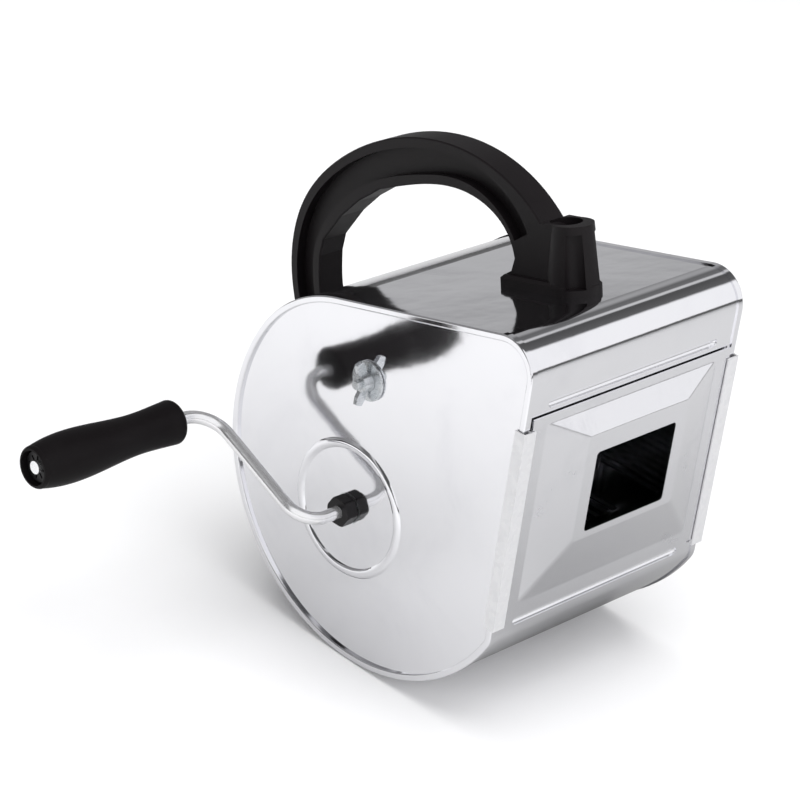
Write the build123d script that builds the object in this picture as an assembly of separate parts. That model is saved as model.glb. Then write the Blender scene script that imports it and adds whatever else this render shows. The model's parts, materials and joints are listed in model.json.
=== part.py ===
from build123d import *
import math
import os

# Hand-cranked roughcast machine: a folded steel box that flicks mortar off a tine rotor.
# Modelled about the spindle axis (X), mouth facing -Y, crank on the -X side, millimetres.
# Everything is written out with the origin at the middle of the carry handle's grip.

# --- box -------------------------------------------------------------------
half_width = 92.0          # spindle mid-point to the outer plane of a cheek
sheet = 0.8                # mantle sheet
cheek_sheet = 1.0          # cheek sheet
drum_y, drum_z = -16.5, 24.0
drum_r = 121.5             # outside of the mantle round the back
shoulder_from = 30.0       # angle where the smaller shoulder arc takes over
top_pitch = 14.2           # fall of the top panel towards the back, degrees
top_offset = 132.5         # spindle to the top panel, square to it
front_y = -126.0           # outside of the front wall
corner_r = 21.0            # rounded top front edge
mouth_low, mouth_high = -8.0, 112.0
lip_bend_r = 14.0

# --- seams, beads ----------------------------------------------------------
seam_out, seam_in = 0.9, 3.4
seam_proud = 2.2           # how far the rolled seam stands off the cheek
seam_lap = 2.6             # how far it laps onto the mantle
seam_round = 1.0
ring_r, ring_half, ring_high = 41.6, 3.2, 1.3
groove_r, groove_half = 2.6, 72.5
groove_heights = (125.0, -20.5)

# --- mouth plate and guides ------------------------------------------------
plate_half, plate_low, plate_high = 88.0, -15.0, 119.0
plate_back, plate_sheet = -127.0, 1.0
press_base_half, press_base_low, press_base_high = 76.0, -6.0, 113.5
press_top_half, press_top_low, press_top_high = 45.0, 29.0, 99.5
press_high = 8.0
crown_round, press_round = 1.9, 3.0
mouth_half, mouth_z0, mouth_z1, mouth_corner = 35.5, 33.5, 86.8, 2.5
slide_gap = 0.3
guide_sheet = 1.0
guide_out, guide_in = 95.6, 86.0
guide_low, guide_high = -19.0, 112.0
guide_leg_back, guide_end_r = -121.4, 6.0

# --- rotor -----------------------------------------------------------------
spindle_r, fit_gap = 6.0, 0.05
core_half, core_len = 13.0, 150.0
comb_len, comb_sheet, comb_tail, tip_r = 144.0, 1.0, 9.0, 78.7
tine_count, tine_wide = 18, 4.0
strip_half, strip_high = 9.0, 3.0
screw_r, screw_count = 2.5, 4
bush_r, bush_len, flange_r, flange_len = 10.0, 8.0, 17.0, 2.5
collar_r, collar_len = 11.0, 6.7

# --- crank -----------------------------------------------------------------
rod_r = 4.0
crank_throw, crank_angle = 98.0, 21.7
arm_x = -129.5             # plane in which the crank arm turns
lower_bend_r, upper_bend_r = 18.0, 21.0
rod_plug_x = -78.0         # where the rod ends inside the bored spindle
nut_flats, crank_nut_len = 17.0, 8.4
nut_seat = 0.6             # gap between the crank nut and the cheek
spindle_end_x, grub_x, grub_r = -97.0, -94.8, 1.5
grip_near, grip_len = -157.0, 108.5
grip_bore, grip_hollow = 4.1, 5.0
rod_end_inset = 1.5
clip_r, clip_inset, clip_teeth, clip_slot_r = 9.4, 3.4, 8, 7.4

# --- flicker bar -----------------------------------------------------------
bar_y, bar_z = -3.2, 89.0
bar_r, stud_r, bar_travel = 4.0, 3.0, 6.0
washer_r, washer_thick = 12.5, 1.5
nut_pitch_room = 0.3
wing_span, wing_roll = 28.0, 6.6
hub_low_r, hub_high_r, hub_high = 6.2, 5.2, 6.4
stud_proud = 12.0          # stud's length beyond the outer plane of the cheek

# --- carry handle ----------------------------------------------------------
arch_half, web_half, arch_bevel = 10.5, 3.2, 0.8
boss_y = -67.2             # boss axis where it meets the top panel
boss_high, boss_r, boss_lead, boss_flare = 41.5, 13.2, 4.5, 3.3
bore_depth = 16.0
flute_r, flute_depth, flute_low, flute_high = 6.5, 4.2, 4.0, 36.5
foot_half, foot_high, foot_back = 16.5, 7.0, 39.5
counterbore_r, bolt_r, bolt_hole_r = 9.8, 4.0, 4.4
head_flats, head_high, nut_high = 13.0, 5.3, 6.5
rear_bolt_z, rear_seat_y = 26.0, 117.0
grip_y, grip_z = 20.0, 198.5    # middle of the hand grip
boss_z = (top_offset - boss_y * math.sin(math.radians(top_pitch))) / math.cos(math.radians(top_pitch))


def save(shape, name):
    moved = Pos(0, -grip_y, -grip_z) * shape
    export_step(moved, f"parts/{name}.step")


def flip(shape):
    return mirror(shape, about=Plane.YZ)


def rod_x(x0, x1, radius, y=0.0, z=0.0):
    """Round bar along X from x0 to x1."""
    length = abs(x1 - x0)
    return Pos((x0 + x1) / 2, y, z) * Rot(0, 90, 0) * Cylinder(radius, length)


def block(x0, x1, y0, y1, z0, z1):
    size = Box(abs(x1 - x0), abs(y1 - y0), abs(z1 - z0))
    return Pos((x0 + x1) / 2, (y0 + y1) / 2, (z0 + z1) / 2) * size


def polar(cy, cz, radius, degrees):
    a = math.radians(degrees)
    return (cy + radius * math.cos(a), cz + radius * math.sin(a))


def body_face(grow=0.0):
    """Side outline of the box in (y, z), grown outwards by grow."""
    steep = 90.0 - top_pitch
    ny, nz = math.cos(math.radians(steep)), math.sin(math.radians(steep))
    uy, uz = math.cos(math.radians(shoulder_from)), math.sin(math.radians(shoulder_from))
    reach = ny * drum_y + nz * drum_z
    lean = ny * uy + nz * uz
    shoulder_r = (top_offset - reach - drum_r * lean) / (1 - lean)
    shoulder_y = drum_y + (drum_r - shoulder_r) * uy
    shoulder_z = drum_z + (drum_r - shoulder_r) * uz
    corner_y = front_y + corner_r
    corner_z = (top_offset - corner_r - ny * corner_y) / nz
    front = front_y - grow
    low_z = drum_z - math.sqrt((drum_r + grow) ** 2 - (front - drum_y) ** 2)
    low_angle = math.degrees(math.atan2(low_z - drum_z, front - drum_y))
    round_back = CenterArc((drum_y, drum_z), drum_r + grow, low_angle, shoulder_from - low_angle)
    shoulder = CenterArc((shoulder_y, shoulder_z), shoulder_r + grow, shoulder_from, steep - shoulder_from)
    corner = CenterArc((corner_y, corner_z), corner_r + grow, steep, 180 - steep)
    top = Line(shoulder @ 1, corner @ 0)
    front_line = Line(corner @ 1, round_back @ 0)
    face = make_face([round_back, shoulder, top, corner, front_line])
    lip = face.vertices().sort_by_distance((front, low_z, 0))[0]
    return fillet(lip, lip_bend_r + grow)


def body_slab(grow, x0, x1):
    return extrude(Plane.YZ.offset(x0) * body_face(grow), x1 - x0)


def capsule_x(half, radius, y, z):
    bar = rod_x(-half, half, radius, y, z)
    return bar + Pos(-half, y, z) * Sphere(radius) + Pos(half, y, z) * Sphere(radius)


def handle_bolt_holes():
    along = Plane((0, boss_y, boss_z), x_dir=(1, 0, 0), z_dir=panel_normal())
    top_hole = along * Cylinder(bolt_hole_r, 20)
    back_hole = Pos(0, rear_seat_y - 15, rear_bolt_z) * Rot(90, 0, 0) * Cylinder(bolt_hole_r, 24)
    return top_hole + back_hole


def panel_normal():
    a = math.radians(top_pitch)
    return (0, math.sin(a), math.cos(a))


def mantle():
    """Sheet wrapped from the lower lip round the back, over the top and down to the mouth."""
    shell = body_slab(0, -half_width, half_width) - body_slab(-sheet, -half_width, half_width)
    shell -= block(-half_width, half_width, front_y - 2, front_y + 6, mouth_low, mouth_high)
    for height in groove_heights:
        pressed = capsule_x(groove_half, groove_r + sheet, front_y, height)
        pressed -= block(-half_width, half_width, front_y - 10, front_y + sheet / 2, height - 9, height + 9)
        shell += pressed
        shell -= capsule_x(groove_half, groove_r, front_y, height)
    return shell - handle_bolt_holes()


def ring_bead(x_base, grow):
    """Half-round annular bead standing out to -X from the plane x_base."""
    radius = (ring_half ** 2 + ring_high ** 2) / (2 * ring_high)
    centre = x_base + radius - ring_high
    disc = Pos(centre, ring_r, 0) * Circle(radius + grow)
    keep = Pos(x_base - ring_high, ring_r, 0) * Rectangle(2 * ring_high, 2 * (ring_half + grow))
    return revolve(disc & keep, Axis.X)


def cheek():
    """Crank-side cheek: flat sheet, embossed ring round the spindle, rolled seam at its edge."""
    plane = -half_width
    plate = body_slab(-sheet, plane, plane + cheek_sheet)
    seam = body_slab(seam_out, plane - seam_proud, plane + seam_lap) - body_slab(0, plane, plane + seam_lap)
    seam -= body_slab(-seam_in, plane - seam_proud, plane)
    edges = seam.edges().filter_by_position(Axis.X, plane - seam_proud - 0.01, plane - seam_proud + 0.01)
    seam = fillet(edges, seam_round)
    plate += ring_bead(plane, 0.0)
    plate -= ring_bead(plane + cheek_sheet, -cheek_sheet * 0.1)
    slot_half = stud_r + 0.3
    slot = rod_x(plane - 3, plane + 3, slot_half, bar_y, bar_z)
    slot += rod_x(plane - 3, plane + 3, slot_half, bar_y, bar_z - bar_travel)
    slot += block(plane - 3, plane + 3, bar_y - slot_half, bar_y + slot_half, bar_z - bar_travel, bar_z)
    bore = rod_x(plane - 3, plane + 3, bush_r)
    return plate + seam - slot - bore


def bearing_bush():
    """Flanged plain bearing for the spindle, its flange inside the cheek."""
    plane = -half_width
    body = rod_x(plane, plane + cheek_sheet + bush_len, bush_r)
    body += rod_x(plane + cheek_sheet, plane + cheek_sheet + flange_len, flange_r)
    return body - rod_x(plane - 1, plane + 20, spindle_r + fit_gap)


def guide():
    """Folded strip hooked round the cheek's front edge, with a slot for the mouth plate."""
    plate_front = plate_back - plate_sheet
    web_y = plate_front - slide_gap
    leg_x = guide_sheet - guide_out
    web = block(-guide_out, -guide_in, web_y - guide_sheet, web_y, guide_low, guide_high)
    leg = block(-guide_out, leg_x, web_y - guide_sheet, guide_leg_back, guide_low, guide_high)
    hem = block(-guide_out, -half_width, guide_leg_back - guide_sheet, guide_leg_back, guide_low, guide_high)
    wall_x = -plate_half - slide_gap
    back_y = plate_back + slide_gap
    inner_low, inner_high = mouth_low + 0.5, mouth_high - 0.5
    wall = block(wall_x - guide_sheet, wall_x, web_y, back_y + guide_sheet, inner_low, inner_high)
    back = block(wall_x - guide_sheet, -guide_in, back_y, back_y + guide_sheet, inner_low, inner_high)
    stop = block(-guide_out, -guide_in, web_y, plate_back, guide_low, plate_low - slide_gap)
    channel = web + leg + hem + wall + back + stop
    round_y, round_z = guide_leg_back - guide_end_r, guide_low + guide_end_r
    low_back = block(-guide_out - 1, -half_width + 1, round_y, guide_leg_back + 1, guide_low - 1, round_z)
    low_back -= rod_x(-guide_out - 2, -half_width + 2, guide_end_r, round_y, round_z)
    return channel - low_back


def press_wedge(grow, y_base, height):
    """Four-sided frustum pressed out of the mouth plate towards -Y."""
    def ring(y, half, low, high):
        place = Plane((0, y, (low + high) / 2), x_dir=(1, 0, 0), z_dir=(0, -1, 0))
        shape = Rectangle(2 * (half - grow), high - low - 2 * grow)
        return place * fillet(shape.vertices(), 3)
    base = ring(y_base, press_base_half, press_base_low, press_base_high)
    crown = ring(y_base - height, press_top_half, press_top_low, press_top_high)
    return loft([base, crown])


def mouth_plate():
    """Sliding front plate with a pressed frustum and the rectangular throwing mouth."""
    front = plate_back - plate_sheet
    crest = press_wedge(0, front, press_high)
    crest = fillet(crest.edges().group_by(Axis.Y)[0], crown_round)
    plate = block(-plate_half, plate_half, front, plate_back, plate_low, plate_high) + crest
    level_edges = plate.edges().filter_by_position(Axis.Y, front, front)
    foot_line = level_edges.filter_by_position(Axis.X, -press_base_half - 1, press_base_half + 1)
    foot_line = foot_line.filter_by_position(Axis.Z, press_base_low - 1, press_base_high + 1)
    plate = fillet(foot_line, press_round)
    plate -= press_wedge(plate_sheet * 1.2, plate_back, press_high)
    mouth = Rectangle(2 * mouth_half, mouth_z1 - mouth_z0)
    mouth = fillet(mouth.vertices(), mouth_corner)
    place = Plane((0, plate_back + 3, (mouth_z0 + mouth_z1) / 2), x_dir=(1, 0, 0), z_dir=(0, -1, 0))
    return plate - extrude(place * mouth, press_high + 8)


def spindle():
    """Turned shaft through both cheeks; the crank rod plugs into its bored -X end."""
    shaft = rod_x(spindle_end_x, half_width + 7, spindle_r)
    shaft -= rod_x(half_width + 3.0, half_width + 4.2, spindle_r + 1)
    shaft += rod_x(half_width + 2.9, half_width + 4.3, spindle_r - 0.7)
    return shaft - rod_x(spindle_end_x - 1, rod_plug_x + 1, rod_r + fit_gap)


def rotor_core():
    core = Box(core_len, 2 * core_half, 2 * core_half)
    core = chamfer(core.edges().filter_by(Axis.X), 1.0)
    core -= rod_x(-core_len, core_len, spindle_r + fit_gap)
    for turn in range(4):
        for x in screw_stations():
            core -= Rot(90 * turn, 0, 0) * Pos(x, 0, core_half) * Cylinder(screw_r, 10)
    return core


def screw_stations():
    pitch = comb_len / screw_count
    return [pitch * (i - (screw_count - 1) / 2) for i in range(screw_count)]


def tine_comb(turn):
    """One row of flat spring tines on a common strip, on one face of the core."""
    tip_y = math.sqrt(tip_r ** 2 - (core_half + comb_sheet) ** 2)
    comb = block(-comb_len / 2, comb_len / 2, -comb_tail, core_half, core_half, core_half + comb_sheet)
    pitch = (comb_len - tine_wide) / (tine_count - 1)
    for i in range(tine_count):
        x0 = -comb_len / 2 + i * pitch
        comb += block(x0, x0 + tine_wide, core_half - 1, tip_y, core_half, core_half + comb_sheet)
    for x in screw_stations():
        comb -= Pos(x, 0, core_half) * Cylinder(screw_r, 6)
    return Rot(90 * turn, 0, 0) * comb


def clamp_strip(turn):
    low = core_half + comb_sheet
    strip = block(-comb_len / 2, comb_len / 2, -strip_half, strip_half, low, low + strip_high)
    strip = fillet(strip.edges().filter_by(Axis.Z), 3)
    for x in screw_stations():
        strip -= Pos(x, 0, low) * Cylinder(screw_r, 12)
    return Rot(90 * turn, 0, 0) * strip


def clamp_screws():
    """All the hexagon-head screws that hold the strips and combs to the core."""
    low = core_half - 5
    seat = core_half + comb_sheet + strip_high
    screws = []
    for turn in range(4):
        for x in screw_stations():
            shank = Pos(x, 0, (low + seat) / 2) * Cylinder(screw_r, seat - low)
            head = Pos(x, 0, seat) * extrude(RegularPolygon(4, 6, major_radius=False), 3.2)
            screws.append(Rot(90 * turn, 0, 0) * (shank + head))
    return Compound(children=screws)


def spindle_collar():
    """Stop collar between the bush and the core, -X side."""
    outer = -half_width + cheek_sheet + bush_len + 0.3
    ring = rod_x(outer, outer + collar_len, collar_r)
    ring -= rod_x(outer - 1, outer + collar_len + 1, spindle_r + fit_gap)
    middle = outer + collar_len / 2
    return ring - Pos(middle, 0, collar_r - 2) * Cylinder(1.5, 8)


def collar_screws():
    outer = -half_width + cheek_sheet + bush_len + 0.3
    middle = outer + collar_len / 2
    low = spindle_r + fit_gap
    screw = Pos(middle, 0, (low + collar_r + 1) / 2) * Cylinder(1.5, collar_r + 1 - low)
    return Compound(children=[screw, flip(screw)])


def circlip():
    """Retaining ring in the groove on the spindle's free end."""
    x = half_width + 3.6
    ring = rod_x(x - 0.5, x + 0.5, spindle_r + 2.5) - rod_x(x - 2, x + 2, spindle_r - 0.7)
    return ring - block(x - 2, x + 2, -1.5, 1.5, 0, 20)


def thrust_washer():
    x0 = half_width + 0.4
    return rod_x(x0, x0 + 2.6, spindle_r + 5) - rod_x(x0 - 1, x0 + 4, spindle_r + fit_gap)


def crank_nut():
    """Hexagon nut over the spindle end, where the crank rod plugs in."""
    inner = -half_width - nut_seat
    outer = inner - crank_nut_len
    hexagon = Plane.YZ.offset(outer) * RegularPolygon(nut_flats / 2, 6, major_radius=False)
    nut = extrude(hexagon, crank_nut_len)
    turned = rod_x(outer, inner, nut_flats / 2 * 1.12)
    nut &= chamfer(turned.edges(), 0.6)
    nut -= rod_x(spindle_end_x - 0.1, inner + 1, spindle_r + fit_gap)
    nut -= rod_x(outer - 1, inner, rod_r + fit_gap)
    return nut - Pos(grub_x, 0, nut_flats / 2) * Cylinder(grub_r, nut_flats)


def nut_grub_screw():
    low, high = spindle_r + fit_gap, nut_flats / 2
    return Pos(grub_x, 0, (low + high) / 2) * Cylinder(grub_r, high - low)


def crank_rod():
    """One bent bar: spindle end, arm, and the pin that the grip turns on."""
    end_x = grip_near - grip_len + rod_end_inset
    a = math.radians(crank_angle)
    arm_y, arm_z = crank_throw * math.cos(a), crank_throw * math.sin(a)
    corners = [(rod_plug_x, 0, 0), (arm_x, 0, 0), (arm_x, arm_y, arm_z), (end_x, arm_y, arm_z)]
    path = FilletPolyline(*corners, radius=[lower_bend_r, upper_bend_r])
    start = Plane(corners[0], z_dir=(-1, 0, 0))
    return sweep(start * Circle(rod_r), path=path)


def at_crank_pin(shape):
    a = math.radians(crank_angle)
    return Pos(0, crank_throw * math.cos(a), crank_throw * math.sin(a)) * shape


def grip():
    """Turned plastic grip: flared inner end, waist, belly, hollow outer end."""
    near, far = grip_near, grip_near - grip_len
    floor = far + grip_hollow
    outline = Spline(
        (near - 3.5, 13.9),
        (near - 14, 13.2),
        (near - 30, 12.5),
        (near - 69, 15.3),
        (far + 3, 13.1),
    )
    inner_round = ThreePointArc((near, 10.5), (near - 0.9, 13.0), outline @ 0)
    outer_round = ThreePointArc(outline @ 1, (far + 0.7, 12.5), (far, 11.8))
    hollow = [(far, 11.8), (far, 10.7), (floor, 10.2), (floor, grip_bore)]
    rest = Polyline(*hollow, (near, grip_bore), (near, 10.5))
    profile = make_face([inner_round, outline, outer_round, rest])
    return at_crank_pin(revolve(profile, Axis.X))


def push_nut():
    """Star retaining clip pushed onto the rod's end, in the grip's hollow end."""
    x = grip_near - grip_len + clip_inset
    disc = rod_x(x, x + 0.7, clip_r)
    for turn in range(clip_teeth):
        slot = block(-1, 2, -0.7, 0.7, 0, clip_slot_r)
        disc -= Pos(x, 0, 0) * Rot(360 / clip_teeth * turn, 0, 0) * slot
    disc -= rod_x(x - 1, x + 2, rod_r)
    return at_crank_pin(disc)


def flicker_bar():
    """Cross bar that the tines spring off, shouldered studs at both ends."""
    inside = half_width - cheek_sheet - 0.3
    bar = rod_x(-inside, inside, bar_r, bar_y, bar_z)
    stud_end = half_width + stud_proud
    bar += rod_x(-stud_end, stud_end, stud_r, bar_y, bar_z)
    for side in (-1, 1):
        bar += rod_x(side * (inside - 2), side * inside, 8.0, bar_y, bar_z)
    ends = bar.faces().sort_by(Axis.X)
    return chamfer(ends[0].edges() + ends[-1].edges(), 0.6)


def bar_washer():
    near = -half_width - nut_pitch_room
    disc = rod_x(near - washer_thick, near, washer_r, bar_y, bar_z)
    disc = fillet(disc.edges(), 0.3)
    return disc - rod_x(near - 5, near + 5, stud_r + 0.1, bar_y, bar_z)


def wing_nut():
    """Butterfly nut on the bar's crank-side stud."""
    seat = -half_width - nut_pitch_room - washer_thick - 0.1
    outward = Plane((seat, 0, 0), x_dir=(0, 0, 1), z_dir=(-1, 0, 0))
    hub = outward * Cone(hub_low_r, hub_high_r, hub_high, align=(Align.CENTER, Align.CENTER, Align.MIN))
    half = wing_span / 2
    ear = Polyline(
        (seat - 0.8, 3.5), (seat - 2.6, half - 3.0), (seat - 5.2, half),
        (seat - 9.6, half - 1.4), (seat - 8.8, half - 6.0), (seat - 5.6, 3.5), close=True)
    ear_face = fillet(make_face(ear).vertices().sort_by(Axis.Y)[-4:], 0.7)
    wing = extrude(Plane.XZ * ear_face, 1.4, both=True)
    nut = hub + wing + Rot(180, 0, 0) * wing
    nut -= rod_x(seat + 1, seat - 20, stud_r + fit_gap)
    return Pos(0, bar_y, bar_z) * Rot(-wing_roll, 0, 0) * nut


def arch_face():
    """Side view of the handle's arch, from the foot over the grip to the pad on the back."""
    outer = Spline(
        (-47, 190), (-10, 208), (17, 211.5), (73, 199.5), (123, 165),
        (149, 126), (153.5, 88), (143, 52), (118, 14))
    heel = Spline((102.0, 52.8), (116, 60), (124, 76), (127.5, 97))
    finger_facets = Polyline((127.5, 97), (126.2, 109), (113.5, 130.5), (101, 145.5), (84, 160.5))
    palm = Spline((84, 160.5), (52, 176.5), (12, 186), (-16, 178.5), (-31, 160))
    pad_r = drum_r + 0.05
    low = polar(drum_y, drum_z, pad_r, -9)
    mid = polar(drum_y, drum_z, pad_r, 2)
    high = polar(drum_y, drum_z, pad_r, 13.2)
    pad = ThreePointArc(low, mid, high)
    underside = Line(outer @ 1, pad @ 0)
    shelf = Line(pad @ 1, heel @ 0)
    front = Polyline(palm @ 1, (-52, 166), (-52, 188), outer @ 0)
    return make_face([outer, underside, pad, shelf, heel, finger_facets, palm, front])


def arch_pocket():
    """Hollow in each side of the arch that leaves a central web and two flanges."""
    outer = Spline(
        (-38, 180), (-26, 192), (-8, 201), (17, 205.3), (70, 193.8),
        (118.5, 161), (143, 124), (147.6, 90), (139, 58))
    inner = Spline(
        (124, 58), (130, 76), (133.3, 98), (124.5, 126.5), (92.5, 161.8),
        (54.5, 182), (12, 192), (-14, 184.5), (-29, 172))
    back = Line(outer @ 1, inner @ 0)
    front = Line(inner @ 1, outer @ 0)
    return make_face([outer, back, inner, front])


def in_panel_frame(shape):
    """Places a shape whose local X runs back along the top panel and local Z stands off it."""
    a = math.radians(top_pitch)
    frame = Plane((0, boss_y, boss_z), x_dir=(0, math.cos(a), -math.sin(a)), z_dir=panel_normal())
    return frame * shape


def handle_foot():
    """Front foot: base flange, neck and the round-nosed, fluted boss for the front bolt."""
    upright = (Align.CENTER, Align.CENTER, Align.MIN)
    foot = Pos(-boss_lead, 0, 0) * Cone(boss_r + boss_flare, boss_r, boss_high, align=upright)
    side = Polyline(
        (-boss_lead, 0), (-boss_lead, boss_high), (9, boss_high), (15, 38), (24, 29),
        (30.5, 18), (34, foot_high + 2), (38, foot_high), (38, 0), close=True)
    foot += extrude(Plane.XZ * make_face(side), boss_r - 0.6, both=True)
    plan = Rectangle(foot_back + boss_lead, 2 * foot_half)
    base = Pos((foot_back - boss_lead) / 2, 0, 0) * extrude(plan, foot_high)
    base += Pos(-boss_lead, 0, 0) * Cylinder(foot_half, foot_high, align=upright)
    foot += chamfer(base.edges().group_by(Axis.Z)[-1], 1.8)
    reach = (boss_r + boss_flare / 2 + flute_r - flute_depth) * math.sqrt(0.5)
    for side_way in (-1, 1):
        flute = Cylinder(flute_r, flute_high - flute_low, align=upright)
        foot -= Pos(-boss_lead - reach, side_way * reach, flute_low) * flute
    foot -= Pos(0, 0, boss_high - bore_depth) * Cylinder(counterbore_r, 40, align=upright)
    foot -= Cylinder(bolt_hole_r, 200)
    return in_panel_frame(foot)


def carry_handle():
    arch = extrude(Plane.YZ * arch_face(), arch_half, both=True)
    long_edges = arch.edges().group_by(Axis.X)
    arch = chamfer(long_edges[0] + long_edges[-1], arch_bevel)
    pocket = extrude(Plane.YZ * arch_pocket(), arch_half)
    arch -= Pos(web_half, 0, 0) * pocket
    arch -= Pos(-web_half - arch_half, 0, 0) * pocket
    handle = arch + handle_foot()
    bore = Pos(0, rear_seat_y, rear_bolt_z) * Rot(-90, 0, 0)
    handle -= bore * Cylinder(counterbore_r, 60, align=(Align.CENTER, Align.CENTER, Align.MIN))
    return handle - bore * Cylinder(bolt_hole_r, 60)


def hex_bolt(length):
    """Hexagon-head bolt, head underside at z = 0, shank pointing down."""
    head = extrude(RegularPolygon(head_flats / 2, 6, major_radius=False), head_high)
    head = chamfer(head.edges().group_by(Axis.Z)[-1], 0.6)
    shank = Cylinder(bolt_r, length, align=(Align.CENTER, Align.CENTER, Align.MAX))
    return head + shank


def hex_nut():
    nut = extrude(RegularPolygon(head_flats / 2, 6, major_radius=False), -nut_high)
    return nut - Cylinder(bolt_r + fit_gap, 40)


def plain_washer():
    ring = Cylinder(8.0, 1.6, align=(Align.CENTER, Align.CENTER, Align.MAX))
    return ring - Cylinder(bolt_r + 0.3, 40)


def at_back(shape, y):
    """Turns a fastener so that its head points to +Y, seated at the given y."""
    return Pos(0, y, rear_bolt_z) * Rot(-90, 0, 0) * shape


def handle_fasteners():
    front_seat = boss_high - bore_depth
    front_bolt = in_panel_frame(Pos(0, 0, front_seat) * hex_bolt(front_seat + 14))
    rear_bolt = at_back(hex_bolt(26), rear_seat_y)
    inside_z = -sheet
    wall_y = drum_y + math.sqrt((drum_r - sheet) ** 2 - (rear_bolt_z - drum_z) ** 2)
    inside_y = wall_y - 0.32
    front_washer = in_panel_frame(Pos(0, 0, inside_z) * plain_washer())
    front_nut = in_panel_frame(Pos(0, 0, inside_z - 1.6) * hex_nut())
    washers = Compound(children=[front_washer, at_back(plain_washer(), inside_y)])
    nuts = Compound(children=[front_nut, at_back(hex_nut(), inside_y - 1.6)])
    return {
        "handle_front_bolt": front_bolt,
        "handle_rear_bolt": rear_bolt,
        "handle_washers": washers,
        "handle_nuts": nuts,
    }


def build():
    crank_cheek, crank_guide, crank_bush = cheek(), guide(), bearing_bush()
    crank_collar, crank_washer, crank_wing = spindle_collar(), bar_washer(), wing_nut()
    parts = {
        "mantle": mantle(),
        "crank_side_cheek": crank_cheek,
        "far_side_cheek": flip(crank_cheek),
        "crank_side_guide": crank_guide,
        "far_side_guide": flip(crank_guide),
        "crank_side_bush": crank_bush,
        "far_side_bush": flip(crank_bush),
        "carry_handle": carry_handle(),
        "mouth_plate": mouth_plate(),
        "spindle": spindle(),
        "rotor_core": rotor_core(),
        "clamp_screws": clamp_screws(),
        "crank_side_collar": crank_collar,
        "far_side_collar": flip(crank_collar),
        "collar_screws": collar_screws(),
        "thrust_washer": thrust_washer(),
        "circlip": circlip(),
        "crank_nut": crank_nut(),
        "nut_grub_screw": nut_grub_screw(),
        "crank_rod": crank_rod(),
        "push_nut": push_nut(),
        "grip": grip(),
        "flicker_bar": flicker_bar(),
        "crank_side_washer": crank_washer,
        "far_side_washer": flip(crank_washer),
        "crank_side_wing_nut": crank_wing,
        "far_side_wing_nut": flip(crank_wing),
    }
    for turn in range(4):
        parts[f"tine_comb_{turn + 1}"] = tine_comb(turn)
        parts[f"clamp_strip_{turn + 1}"] = clamp_strip(turn)
    parts.update(handle_fasteners())
    return parts


os.makedirs("parts", exist_ok=True)
for part_name, part_shape in build().items():
    save(part_shape, part_name)
    print(part_name, "written")
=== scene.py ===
import json
import math
import bpy
import bmesh
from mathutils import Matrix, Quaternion, Vector


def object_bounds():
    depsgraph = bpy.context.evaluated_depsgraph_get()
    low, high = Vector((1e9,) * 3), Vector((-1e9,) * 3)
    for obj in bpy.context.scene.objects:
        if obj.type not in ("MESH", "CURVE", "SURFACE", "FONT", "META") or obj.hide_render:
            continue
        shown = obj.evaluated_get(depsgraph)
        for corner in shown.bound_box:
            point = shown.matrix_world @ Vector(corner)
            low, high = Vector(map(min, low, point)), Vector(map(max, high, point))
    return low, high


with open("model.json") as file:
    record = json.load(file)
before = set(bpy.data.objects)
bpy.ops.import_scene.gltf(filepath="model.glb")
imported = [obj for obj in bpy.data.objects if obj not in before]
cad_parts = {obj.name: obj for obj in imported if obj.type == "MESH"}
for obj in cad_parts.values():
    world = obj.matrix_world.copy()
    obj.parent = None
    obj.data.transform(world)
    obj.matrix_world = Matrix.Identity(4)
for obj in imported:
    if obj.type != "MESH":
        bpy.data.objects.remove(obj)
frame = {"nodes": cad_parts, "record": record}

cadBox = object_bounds()
nodes = frame["nodes"]
record = frame["record"]
print("frame loaded:", len(nodes), "parts")


def addNode(tree, kind, place=(0, 0), **values):
    node = tree.nodes.new(kind)
    node.location = place
    for key, value in values.items():
        setattr(node, key, value)
    return node


def setSockets(node, values):
    for name, value in values.items():
        node.inputs[name].default_value = value
    return node


def wire(tree, *links):
    # each link is an output socket and the input socket it feeds
    for giver, taker in links:
        tree.links.new(giver, taker)


def newGroup(name, inputs, outputs):
    # a shader group with its sockets declared, plus its own input and output nodes
    tree = bpy.data.node_groups.new(name, "ShaderNodeTree")
    for title, kind, default in inputs:
        socket = tree.interface.new_socket(name=title, in_out="INPUT", socket_type=kind)
        socket.default_value = default
    for title, kind in outputs:
        tree.interface.new_socket(name=title, in_out="OUTPUT", socket_type=kind)
    source = addNode(tree, "NodeGroupInput", (-900, 0))
    sink = addNode(tree, "NodeGroupOutput", (700, 0))
    return tree, source, sink


def placeGroup(tree, group, place, **values):
    return setSockets(addNode(tree, "ShaderNodeGroup", place, node_tree=group), values)


# surface effects that several finishes share, each with its fixed values beside it
wavesLook = {
    "slow": {"Detail": 1.0, "Roughness": 0.35},
    "fine": {"Detail": 2.0, "Roughness": 0.5},
    "fineRatio": 6.0,    # how much smaller the fine ripples are than the slow waves
}


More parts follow.
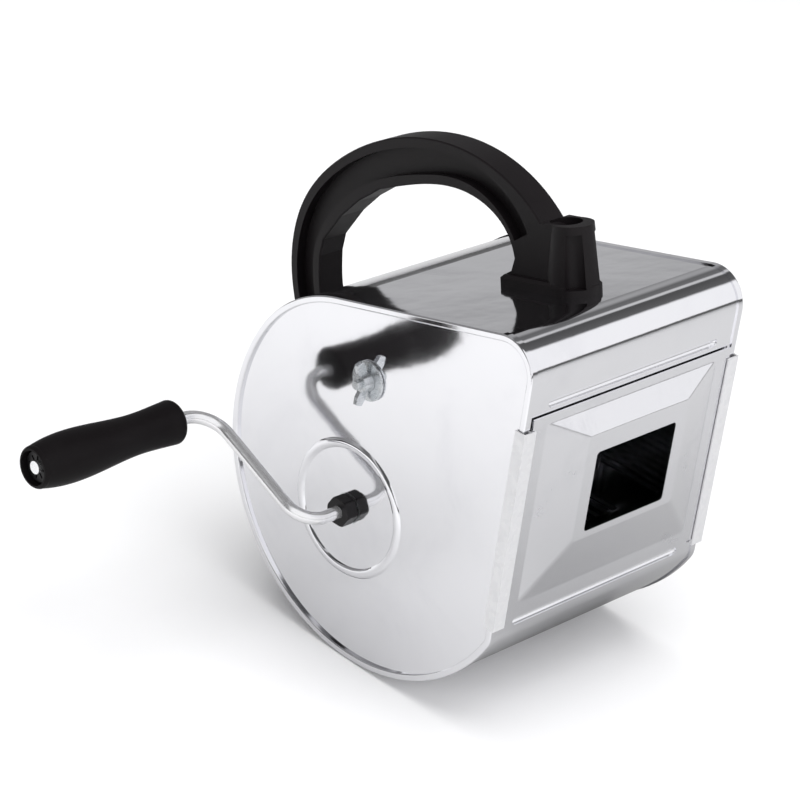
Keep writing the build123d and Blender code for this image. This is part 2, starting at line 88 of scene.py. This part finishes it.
def sheetWavinessGroup():
    # slow waves left in thin sheet by folding and pressing
    tree, source, sink = newGroup("sheetWaviness", [
        ("Scale", "NodeSocketFloat", 9.0),
        ("Fine Share", "NodeSocketFloat", 0.15),
    ], [("Height", "NodeSocketFloat")])
    coord = addNode(tree, "ShaderNodeTexCoord", (-900, -200))
    slow = addNode(tree, "ShaderNodeTexNoise", (-600, 100))
    setSockets(slow, wavesLook["slow"])
    fineScale = addNode(tree, "ShaderNodeMath", (-750, -200), operation="MULTIPLY")
    fineScale.inputs[1].default_value = wavesLook["fineRatio"]
    fine = addNode(tree, "ShaderNodeTexNoise", (-600, -200))
    setSockets(fine, wavesLook["fine"])
    share = addNode(tree, "ShaderNodeMath", (-300, -200), operation="MULTIPLY")
    total = addNode(tree, "ShaderNodeMath", (0, 0), operation="ADD")
    wire(tree,
         (coord.outputs["Object"], slow.inputs["Vector"]),
         (coord.outputs["Object"], fine.inputs["Vector"]),
         (source.outputs["Scale"], slow.inputs["Scale"]),
         (source.outputs["Scale"], fineScale.inputs[0]),
         (fineScale.outputs[0], fine.inputs["Scale"]),
         (fine.outputs["Fac"], share.inputs[0]),
         (source.outputs["Fine Share"], share.inputs[1]),
         (slow.outputs["Fac"], total.inputs[0]),
         (share.outputs[0], total.inputs[1]),
         (total.outputs[0], sink.inputs["Height"]))
    return tree


smudgeLook = {"cloud": {"Detail": 5.0, "Roughness": 0.62, "Distortion": 0.6}, "fullAt": 0.85}


def smudgeGroup():
    # cloudy film of handling marks and dust, from 0 clean to 1 marked
    tree, source, sink = newGroup("smudges", [
        ("Scale", "NodeSocketFloat", 22.0),
        ("Coverage", "NodeSocketFloat", 0.45),
    ], [("Mask", "NodeSocketFloat")])
    coord = addNode(tree, "ShaderNodeTexCoord", (-900, -200))
    cloud = addNode(tree, "ShaderNodeTexNoise", (-600, 0))
    setSockets(cloud, smudgeLook["cloud"])
    low = addNode(tree, "ShaderNodeMath", (-600, -250), operation="SUBTRACT")
    low.inputs[0].default_value = 1.0
    ramp = addNode(tree, "ShaderNodeMapRange", (-200, 0), interpolation_type="SMOOTHSTEP")
    setSockets(ramp, {"From Max": smudgeLook["fullAt"]})
    wire(tree,
         (coord.outputs["Object"], cloud.inputs["Vector"]),
         (source.outputs["Scale"], cloud.inputs["Scale"]),
         (source.outputs["Coverage"], low.inputs[1]),
         (cloud.outputs["Fac"], ramp.inputs["Value"]),
         (low.outputs[0], ramp.inputs["From Min"]),
         (ramp.outputs["Result"], sink.inputs["Mask"]))
    return tree


brushLook = {"lines": {"Detail": 3.0, "Roughness": 0.6}, "contrast": {"From Min": 0.3, "From Max": 0.7}}


def brushLinesGroup():
    # fine parallel lines: Stretch is how much finer they are across than along
    tree, source, sink = newGroup("brushLines", [
        ("Scale", "NodeSocketFloat", 60.0),
        ("Stretch", "NodeSocketVector", (1.0, 1.0, 30.0)),
    ], [("Mask", "NodeSocketFloat"), ("Height", "NodeSocketFloat")])
    coord = addNode(tree, "ShaderNodeTexCoord", (-900, -200))
    squeeze = addNode(tree, "ShaderNodeVectorMath", (-650, -100), operation="MULTIPLY")
    lines = addNode(tree, "ShaderNodeTexNoise", (-400, 0))
    setSockets(lines, brushLook["lines"])
    contrast = addNode(tree, "ShaderNodeMapRange", (-100, 100))
    setSockets(contrast, brushLook["contrast"])
    wire(tree,
         (coord.outputs["Object"], squeeze.inputs[0]),
         (source.outputs["Stretch"], squeeze.inputs[1]),
         (squeeze.outputs["Vector"], lines.inputs["Vector"]),
         (source.outputs["Scale"], lines.inputs["Scale"]),
         (lines.outputs["Fac"], contrast.inputs["Value"]),
         (contrast.outputs["Result"], sink.inputs["Mask"]),
         (lines.outputs["Fac"], sink.inputs["Height"]))
    return tree


spangleLook = {"warp": {"Scale": 60.0, "Detail": 2.0}, "warpReach": 0.006}


def spangleGroup():
    # crystal pattern of hot-dip zinc
    tree, source, sink = newGroup("spangle", [
        ("Scale", "NodeSocketFloat", 140.0),
    ], [("Mask", "NodeSocketFloat"), ("Height", "NodeSocketFloat")])
    coord = addNode(tree, "ShaderNodeTexCoord", (-900, -200))
    warp = addNode(tree, "ShaderNodeTexNoise", (-700, -200))
    setSockets(warp, spangleLook["warp"])
    push = addNode(tree, "ShaderNodeVectorMath", (-500, -100), operation="MULTIPLY_ADD")
    push.inputs[1].default_value = (spangleLook["warpReach"],) * 3
    cells = addNode(tree, "ShaderNodeTexVoronoi", (-300, 0))
    grey = addNode(tree, "ShaderNodeRGBToBW", (0, 100))
    wire(tree,
         (coord.outputs["Object"], warp.inputs["Vector"]),
         (warp.outputs["Color"], push.inputs[0]),
         (coord.outputs["Object"], push.inputs[2]),
         (push.outputs["Vector"], cells.inputs["Vector"]),
         (source.outputs["Scale"], cells.inputs["Scale"]),
         (cells.outputs["Color"], grey.inputs["Color"]),
         (grey.outputs["Val"], sink.inputs["Mask"]),
         (cells.outputs["Distance"], sink.inputs["Height"]))
    return tree


grainLook = {"pebbleBlend": 0.7, "patches": {"Scale": 35.0, "Detail": 3.0, "Roughness": 0.6}}


def mouldGrainGroup():
    # pebbled skin of moulded plastic
    tree, source, sink = newGroup("mouldGrain", [
        ("Scale", "NodeSocketFloat", 900.0),
    ], [("Mask", "NodeSocketFloat"), ("Height", "NodeSocketFloat")])
    coord = addNode(tree, "ShaderNodeTexCoord", (-900, -200))
    pebble = addNode(tree, "ShaderNodeTexVoronoi", (-500, 0), feature="SMOOTH_F1")
    setSockets(pebble, {"Smoothness": grainLook["pebbleBlend"]})
    patch = addNode(tree, "ShaderNodeTexNoise", (-500, -300))
    setSockets(patch, grainLook["patches"])
    wire(tree,
         (coord.outputs["Object"], pebble.inputs["Vector"]),
         (coord.outputs["Object"], patch.inputs["Vector"]),
         (source.outputs["Scale"], pebble.inputs["Scale"]),
         (patch.outputs["Fac"], sink.inputs["Mask"]),
         (pebble.outputs["Distance"], sink.inputs["Height"]))
    return tree


groups = {
    "waviness": sheetWavinessGroup(),
    "smudges": smudgeGroup(),
    "lines": brushLinesGroup(),
    "spangle": spangleGroup(),
    "grain": mouldGrainGroup(),
}
print("surface effects built:", len(groups))


def startMaterial(name):
    material = bpy.data.materials.new(name)
    material.use_nodes = True
    tree = material.node_tree
    tree.nodes.clear()
    shader = addNode(tree, "ShaderNodeBsdfPrincipled", (400, 0))
    output = addNode(tree, "ShaderNodeOutputMaterial", (700, 0))
    tree.links.new(shader.outputs["BSDF"], output.inputs["Surface"])
    return material, tree, shader


def blendColour(tree, shader, mask, first, second, place=(100, 200)):
    mix = addNode(tree, "ShaderNodeMix", place, data_type="RGBA")
    mix.inputs["A"].default_value = (*first, 1.0)
    mix.inputs["B"].default_value = (*second, 1.0)
    tree.links.new(mask, mix.inputs["Factor"])
    tree.links.new(mix.outputs["Result"], shader.inputs["Base Color"])


def blendRoughness(tree, shader, mask, first, second, place=(100, -50)):
    spread = addNode(tree, "ShaderNodeMapRange", place)
    setSockets(spread, {"To Min": first, "To Max": second})
    tree.links.new(mask, spread.inputs["Value"])
    tree.links.new(spread.outputs["Result"], shader.inputs["Roughness"])


def addBump(tree, shader, heights, place=(150, -300)):
    # heights: list of (socket, distance in metres), chained one after the other
    step = 200    # from one bump node to the next in the editor
    normal = None
    for number, (height, distance) in enumerate(heights):
        bump = addNode(tree, "ShaderNodeBump", (place[0] - step * (len(heights) - number), place[1]))
        setSockets(bump, {"Strength": 1.0, "Distance": distance})
        tree.links.new(height, bump.inputs["Height"])
        if normal is not None:
            tree.links.new(normal, bump.inputs["Normal"])
        normal = bump.outputs["Normal"]
    tree.links.new(normal, shader.inputs["Normal"])


def metalFinish(name, look):
    # one metal: clean colour, marked colour, two roughnesses, sheet waves and brush lines
    material, tree, shader = startMaterial(name)
    shader.inputs["Metallic"].default_value = look["metallic"]
    smudge = placeGroup(tree, groups["smudges"], (-500, 200),
                        Scale=look["smudgeScale"], Coverage=look["smudgeCover"])
    lines = placeGroup(tree, groups["lines"], (-500, -50),
                       Scale=look["lineScale"], Stretch=look["lineStretch"])
    waves = placeGroup(tree, groups["waviness"], (-500, -300), Scale=look["waveScale"])
    blendColour(tree, shader, smudge.outputs["Mask"], look["colour"], look["markedColour"])
    both = addNode(tree, "ShaderNodeMath", (-150, -50), operation="MULTIPLY_ADD")
    both.inputs[1].default_value = look["lineShare"]
    tree.links.new(lines.outputs["Mask"], both.inputs[0])
    tree.links.new(smudge.outputs["Mask"], both.inputs[2])
    blendRoughness(tree, shader, both.outputs[0], look["roughness"], look["markedRoughness"])
    addBump(tree, shader, [
        (waves.outputs["Height"], look["waveDepth"]),
        (lines.outputs["Height"], look["lineDepth"]),
    ])
    return material


# depths are in metres, and lineShare is how much the brush lines change the roughness
mirrorSteelLook = {
    "metallic": 1.0, "colour": (0.86, 0.86, 0.885), "markedColour": (0.80, 0.80, 0.83),
    "roughness": 0.07, "markedRoughness": 0.12,
    "smudgeScale": 16.0, "smudgeCover": 0.55,
    "lineScale": 40.0, "lineStretch": (1.0, 14.0, 14.0), "lineShare": 0.25, "lineDepth": 0.000001,
    "waveScale": 7.0, "waveDepth": 0.0007,
}
plateSteelLook = {
    "metallic": 1.0, "colour": (0.83, 0.83, 0.855), "markedColour": (0.73, 0.73, 0.765),
    "roughness": 0.20, "markedRoughness": 0.32,
    "smudgeScale": 26.0, "smudgeCover": 0.5,
    "lineScale": 70.0, "lineStretch": (20.0, 1.0, 1.0), "lineShare": 0.35, "lineDepth": 0.00001,
    "waveScale": 12.0, "waveDepth": 0.0004,
}
zincLook = {
    "metallic": 0.95, "colour": (0.62, 0.64, 0.66), "markedColour": (0.48, 0.50, 0.52),
    "roughness": 0.24, "markedRoughness": 0.40,
    "smudgeScale": 160.0, "smudgeCover": 0.5,
    "lineScale": 300.0, "lineStretch": (1.0, 1.0, 6.0), "lineShare": 0.3, "lineDepth": 0.000001,
    "waveScale": 60.0, "waveDepth": 0.00003,
}
brightBarLook = {
    "metallic": 0.85, "colour": (0.87, 0.87, 0.88), "markedColour": (0.78, 0.78, 0.80),
    "roughness": 0.20, "markedRoughness": 0.30,
    "smudgeScale": 90.0, "smudgeCover": 0.5,
    "lineScale": 180.0, "lineStretch": (1.0, 5.0, 5.0), "lineShare": 0.3, "lineDepth": 0.0000005,
    "waveScale": 30.0, "waveDepth": 0.0001,
}
springSteelLook = {
    "metallic": 1.0, "colour": (0.12, 0.12, 0.135), "markedColour": (0.08, 0.075, 0.07),
    "roughness": 0.32, "markedRoughness": 0.50,
    "smudgeScale": 60.0, "smudgeCover": 0.55,
    "lineScale": 200.0, "lineStretch": (12.0, 1.0, 1.0), "lineShare": 0.4, "lineDepth": 0.00002,
    "waveScale": 60.0, "waveDepth": 0.0002,
}
blackOxideLook = {
    "metallic": 0.5, "colour": (0.006, 0.005, 0.006), "markedColour": (0.016, 0.015, 0.016),
    "roughness": 0.30, "markedRoughness": 0.48,
    "smudgeScale": 140.0, "smudgeCover": 0.5,
    "lineScale": 260.0, "lineStretch": (1.0, 1.0, 8.0), "lineShare": 0.3, "lineDepth": 0.00002,
    "waveScale": 120.0, "waveDepth": 0.0002,
}


def galvanisedFinish(name, look):
    # matt zinc skin: two greys and two roughnesses from flake to flake
    material, tree, shader = startMaterial(name)
    shader.inputs["Metallic"].default_value = look["metallic"]
    flakes = placeGroup(tree, groups["spangle"], (-500, 200), Scale=look["spangleScale"])
    waves = placeGroup(tree, groups["waviness"], (-500, -300), Scale=look["waveScale"])
    blendColour(tree, shader, flakes.outputs["Mask"], look["colour"], look["darkColour"])
    blendRoughness(tree, shader, flakes.outputs["Mask"], look["roughness"], look["darkRoughness"])
    addBump(tree, shader, [
        (waves.outputs["Height"], look["waveDepth"]),
        (flakes.outputs["Height"], look["spangleDepth"]),
    ])
    return material


galvanisedLook = {
    "metallic": 0.45, "colour": (0.80, 0.80, 0.81), "darkColour": (0.75, 0.75, 0.765),
    "roughness": 0.40, "darkRoughness": 0.55, "spangleScale": 330.0, "spangleDepth": 0.00005,
    "waveScale": 40.0, "waveDepth": 0.0006,
}


def plasticFinish(name, look):
    # moulded plastic: pebbled skin with slightly worn patches
    material, tree, shader = startMaterial(name)
    shader.inputs["Specular IOR Level"].default_value = look["specular"]
    grain = placeGroup(tree, groups["grain"], (-500, 0), Scale=look["grainScale"])
    blendColour(tree, shader, grain.outputs["Mask"], look["colour"], look["wornColour"])
    blendRoughness(tree, shader, grain.outputs["Mask"], look["roughness"], look["wornRoughness"])
    addBump(tree, shader, [(grain.outputs["Height"], look["grainDepth"])])
    return material


handlePlasticLook = {
    "colour": (0.0045, 0.0035, 0.004), "wornColour": (0.0100, 0.0080, 0.0090),
    "roughness": 0.38, "wornRoughness": 0.52, "grainScale": 1100.0, "grainDepth": 0.00003,
    "specular": 0.20,
}
gripPlasticLook = {
    "colour": (0.0035, 0.0025, 0.003), "wornColour": (0.0070, 0.0060, 0.0065),
    "roughness": 0.42, "wornRoughness": 0.56, "grainScale": 1300.0, "grainDepth": 0.00002,
    "specular": 0.10,
}

finishes = {
    "mirror_steel": metalFinish("mirrorSteel", mirrorSteelLook),
    "plate_steel": metalFinish("plateSteel", plateSteelLook),
    "galvanised": galvanisedFinish("galvanised", galvanisedLook),
    "black_plastic": plasticFinish("handlePlastic", handlePlasticLook),
    "grip_plastic": plasticFinish("gripPlastic", gripPlasticLook),
    "zinc": metalFinish("zincPlate", zincLook),
    "bright_bar": metalFinish("brightBar", brightBarLook),
    "black_oxide": metalFinish("blackOxide", blackOxideLook),
    "spring_steel": metalFinish("springSteel", springSteelLook),
}
for part in record["subparts"]:
    mesh = nodes[part["node"]].data
    mesh.materials.clear()
    mesh.materials.append(finishes[part["material_slot"]])
print("finishes laid on:", len(record["subparts"]), "parts")


floorLook = {
    "size": 8.0, "gap": 0.0005, "colour": (0.93, 0.93, 0.935), "roughness": 0.7,
    "patches": {"Scale": 3.0, "Detail": 2.0}, "patchTone": 0.985,
    # painted shade that only glossy rays see on the floor, so polished steel mirrors it: greys near the
    # box and far from it, on its left and on its right
    "near": 0.15, "far": 0.58, "leftEnds": -0.12, "rightStarts": 0.05,
    "leftNear": 0.68, "leftFar": 0.88, "rightNear": 0.36, "rightFar": 0.62,
}


def paintedMirrorShade(tree, base):
    # painted shade on the floor for glossy rays only: polished steel mirrors a floor painted darker close
    # to the box, and more so to its right
    coord = addNode(tree, "ShaderNodeTexCoord", (-1400, -300))
    flat = addNode(tree, "ShaderNodeVectorMath", (-1200, -300), operation="MULTIPLY")
    flat.inputs[1].default_value = (1.0, 1.0, 0.0)
    away = addNode(tree, "ShaderNodeVectorMath", (-1000, -300), operation="LENGTH")
    split = addNode(tree, "ShaderNodeSeparateXYZ", (-1000, -600))
    toRight = addNode(tree, "ShaderNodeMapRange", (-800, -600), interpolation_type="SMOOTHSTEP")
    setSockets(toRight, {"From Min": floorLook["leftEnds"], "From Max": floorLook["rightStarts"]})
    sides = {}
    for side, height in (("left", -100), ("right", -350)):
        sides[side] = addNode(tree, "ShaderNodeMapRange", (-800, height), interpolation_type="SMOOTHSTEP")
        setSockets(sides[side], {"From Min": floorLook["near"], "From Max": floorLook["far"],
                                 "To Min": floorLook[side + "Near"], "To Max": floorLook[side + "Far"]})
        tree.links.new(away.outputs["Value"], sides[side].inputs["Value"])
    tone = addNode(tree, "ShaderNodeMix", (-500, -300), data_type="FLOAT")
    path = addNode(tree, "ShaderNodeLightPath", (-500, -600))
    seen = addNode(tree, "ShaderNodeMix", (-200, -300), data_type="RGBA")
    wire(tree,
         (coord.outputs["Object"], flat.inputs[0]),
         (flat.outputs["Vector"], away.inputs[0]),
         (coord.outputs["Object"], split.inputs["Vector"]),
         (split.outputs["X"], toRight.inputs["Value"]),
         (toRight.outputs["Result"], tone.inputs["Factor"]),
         (sides["left"].outputs["Result"], tone.inputs["A"]),
         (sides["right"].outputs["Result"], tone.inputs["B"]),
         (path.outputs["Is Glossy Ray"], seen.inputs["Factor"]),
         (base, seen.inputs["A"]),
         (tone.outputs["Result"], seen.inputs["B"]))
    return seen.outputs["Result"]


def studioFloor():
    half = floorLook["size"] / 2
    level = cadBox[0][2] - floorLook["gap"]
    build = bmesh.new()
    corners = ((-half, -half), (half, -half), (half, half), (-half, half))
    build.faces.new([build.verts.new((x, y, level)) for x, y in corners])
    mesh = bpy.data.meshes.new("studioFloor")
    build.to_mesh(mesh)
    build.free()
    floor = bpy.data.objects.new("studioFloor", mesh)
    bpy.context.scene.collection.objects.link(floor)
    material, tree, shader = startMaterial("floorPaint")
    patches = addNode(tree, "ShaderNodeTexNoise", (-400, 0))
    setSockets(patches, floorLook["patches"])
    base = floorLook["colour"]
    patched = tuple(channel * floorLook["patchTone"] for channel in base)
    blendColour(tree, shader, patches.outputs["Fac"], base, patched)
    plain = shader.inputs["Base Color"].links[0].from_socket
    # for glossy rays the floor colour is swapped for painted shade that darkens it near the box
    tree.links.new(paintedMirrorShade(tree, plain), shader.inputs["Base Color"])
    shader.inputs["Roughness"].default_value = floorLook["roughness"]
    shader.inputs["Specular IOR Level"].default_value = 0.0
    mesh.materials.append(material)


softboxes = {
    "topSoftbox": {"place": (-0.1, -0.1, 3.0), "aim": (0, 0, -0.2), "size": (3.2, 3.2), "power": 96},
    "leftSoftbox": {"place": (-2.2, -0.6, 0.9), "aim": (0, 0, -0.15), "size": (1.4, 1.4), "power": 9},
    "frontSoftbox": {"place": (0.6, -2.4, 0.8), "aim": (0, 0, -0.15), "size": (1.4, 1.2), "power": 9},
}


def softbox(name, look):
    data = bpy.data.lights.new(name, "AREA")
    data.shape = "RECTANGLE"
    data.size, data.size_y = look["size"]
    data.energy = look["power"]
    lamp = bpy.data.objects.new(name, data)
    lamp.location = look["place"]
    lamp.visible_glossy = False    # the steel mirrors the room's tones instead
    lamp.rotation_euler = (Vector(look["aim"]) - lamp.location).to_track_quat("-Z", "Y").to_euler()
    bpy.context.scene.collection.objects.link(lamp)


# the room's brightness from its front (-Y, at 0) to its back (+Y, at 1): a big bright screen in front,
# a dark gap above the box, a narrow lamp, then the grey back of the room
frontTones = [
    (0.0, 1.0), (0.36, 1.0), (0.395, 0.12), (0.565, 0.08), (0.59, 0.62),
    (0.62, 0.62), (0.645, 0.16), (0.72, 0.14), (0.77, 0.36), (1.0, 0.36),
]
# brightness low down at the back, by the sine of elevation
backTones = [
    (0.0, 0.30), (0.05, 0.46), (0.085, 0.50), (0.12, 0.34), (0.17, 0.22), (0.40, 0.26), (1.0, 0.34),
]
roomLook = {
    "strength": 1.0, "backFrom": 0.60, "backTo": 0.68,
    "skirtTop": 0.045, "skirtTone": 0.12,    # dark strip round the foot of the room
    "blueTint": 1.015, "backdrop": 1.0,
}


def toneRamp(tree, tones, place):
    ramp = addNode(tree, "ShaderNodeValToRGB", place)
    while len(ramp.color_ramp.elements) < len(tones):
        ramp.color_ramp.elements.new(0.5)
    for element, (position, tone) in zip(ramp.color_ramp.elements, tones):
        element.position = position
        element.color = (tone, tone, tone * roomLook["blueTint"], 1.0)
    return ramp


def studioWorld():
    # polished steel mirrors the toned room, while the backdrop itself stays plain white
    world = bpy.data.worlds.new("studioRoom")
    bpy.context.scene.world = world
    world.use_nodes = True
    tree = world.node_tree
    tree.nodes.clear()
    coord = addNode(tree, "ShaderNodeTexCoord", (-1200, 0))
    split = addNode(tree, "ShaderNodeSeparateXYZ", (-1000, 0))
    depth = addNode(tree, "ShaderNodeMath", (-800, 100), operation="MULTIPLY_ADD")
    for number in (1, 2):
        depth.inputs[number].default_value = 0.5    # from -1..1 to the ramp's 0..1
    front = toneRamp(tree, frontTones, (-600, 100))
    back = toneRamp(tree, backTones, (-600, -150))
    atBack = addNode(tree, "ShaderNodeMapRange", (-600, -400), interpolation_type="SMOOTHSTEP")
    setSockets(atBack, {"From Min": roomLook["backFrom"], "From Max": roomLook["backTo"]})
    room = addNode(tree, "ShaderNodeMix", (-250, 0), data_type="RGBA")
    skirt = addNode(tree, "ShaderNodeMath", (-600, -650), operation="LESS_THAN")
    skirt.inputs[1].default_value = roomLook["skirtTop"]
    dimmed = addNode(tree, "ShaderNodeMix", (0, 0), data_type="RGBA")
    dimmed.inputs["B"].default_value = (*[roomLook["skirtTone"]] * 3, 1.0)
    path = addNode(tree, "ShaderNodeLightPath", (0, -300))
    backdrop = addNode(tree, "ShaderNodeMix", (150, -100), data_type="RGBA")
    backdrop.inputs["B"].default_value = (*[roomLook["backdrop"]] * 3, 1.0)
    glow = addNode(tree, "ShaderNodeBackground", (300, 0))
    glow.inputs["Strength"].default_value = roomLook["strength"]
    output = addNode(tree, "ShaderNodeOutputWorld", (500, 0))
    wire(tree,
         (coord.outputs["Generated"], split.inputs["Vector"]),
         (split.outputs["Y"], depth.inputs[0]),
         (depth.outputs[0], front.inputs["Fac"]),
         (split.outputs["Z"], back.inputs["Fac"]),
         (split.outputs["Y"], atBack.inputs["Value"]),
         (split.outputs["Z"], skirt.inputs[0]),
         (atBack.outputs["Result"], room.inputs["Factor"]),
         (front.outputs["Color"], room.inputs["A"]),
         (back.outputs["Color"], room.inputs["B"]),
         (skirt.outputs[0], dimmed.inputs["Factor"]),
         (room.outputs["Result"], dimmed.inputs["A"]),
         (path.outputs["Is Camera Ray"], backdrop.inputs["Factor"]),
         (dimmed.outputs["Result"], backdrop.inputs["A"]),
         (backdrop.outputs["Result"], glow.inputs["Color"]),
         (glow.outputs["Background"], output.inputs["Surface"]))


cameraView = {
    "place": (-1.2067, -1.0378, 0.6579),
    "heading": (0.6650, 0.5897, -0.4584),
    "roll": 8.03,
    "lens": 128.7,
    "sensor": 36.0,
    "clipEnd": 30.0,
}


def studioCamera():
    data = bpy.data.cameras.new("studioCamera")
    data.lens = cameraView["lens"]
    data.sensor_width = cameraView["sensor"]
    data.clip_end = cameraView["clipEnd"]
    camera = bpy.data.objects.new("studioCamera", data)
    camera.location = cameraView["place"]
    turn = Vector(cameraView["heading"]).to_track_quat("-Z", "Y")
    turn = turn @ Quaternion((0, 0, 1), math.radians(cameraView["roll"]))
    camera.rotation_euler = turn.to_euler()
    bpy.context.scene.collection.objects.link(camera)
    bpy.context.scene.camera = camera


studioFloor()
studioWorld()
studioCamera()
for name, look in softboxes.items():
    softbox(name, look)
bpy.context.scene.view_settings.view_transform = "Standard"
print("studio ready")
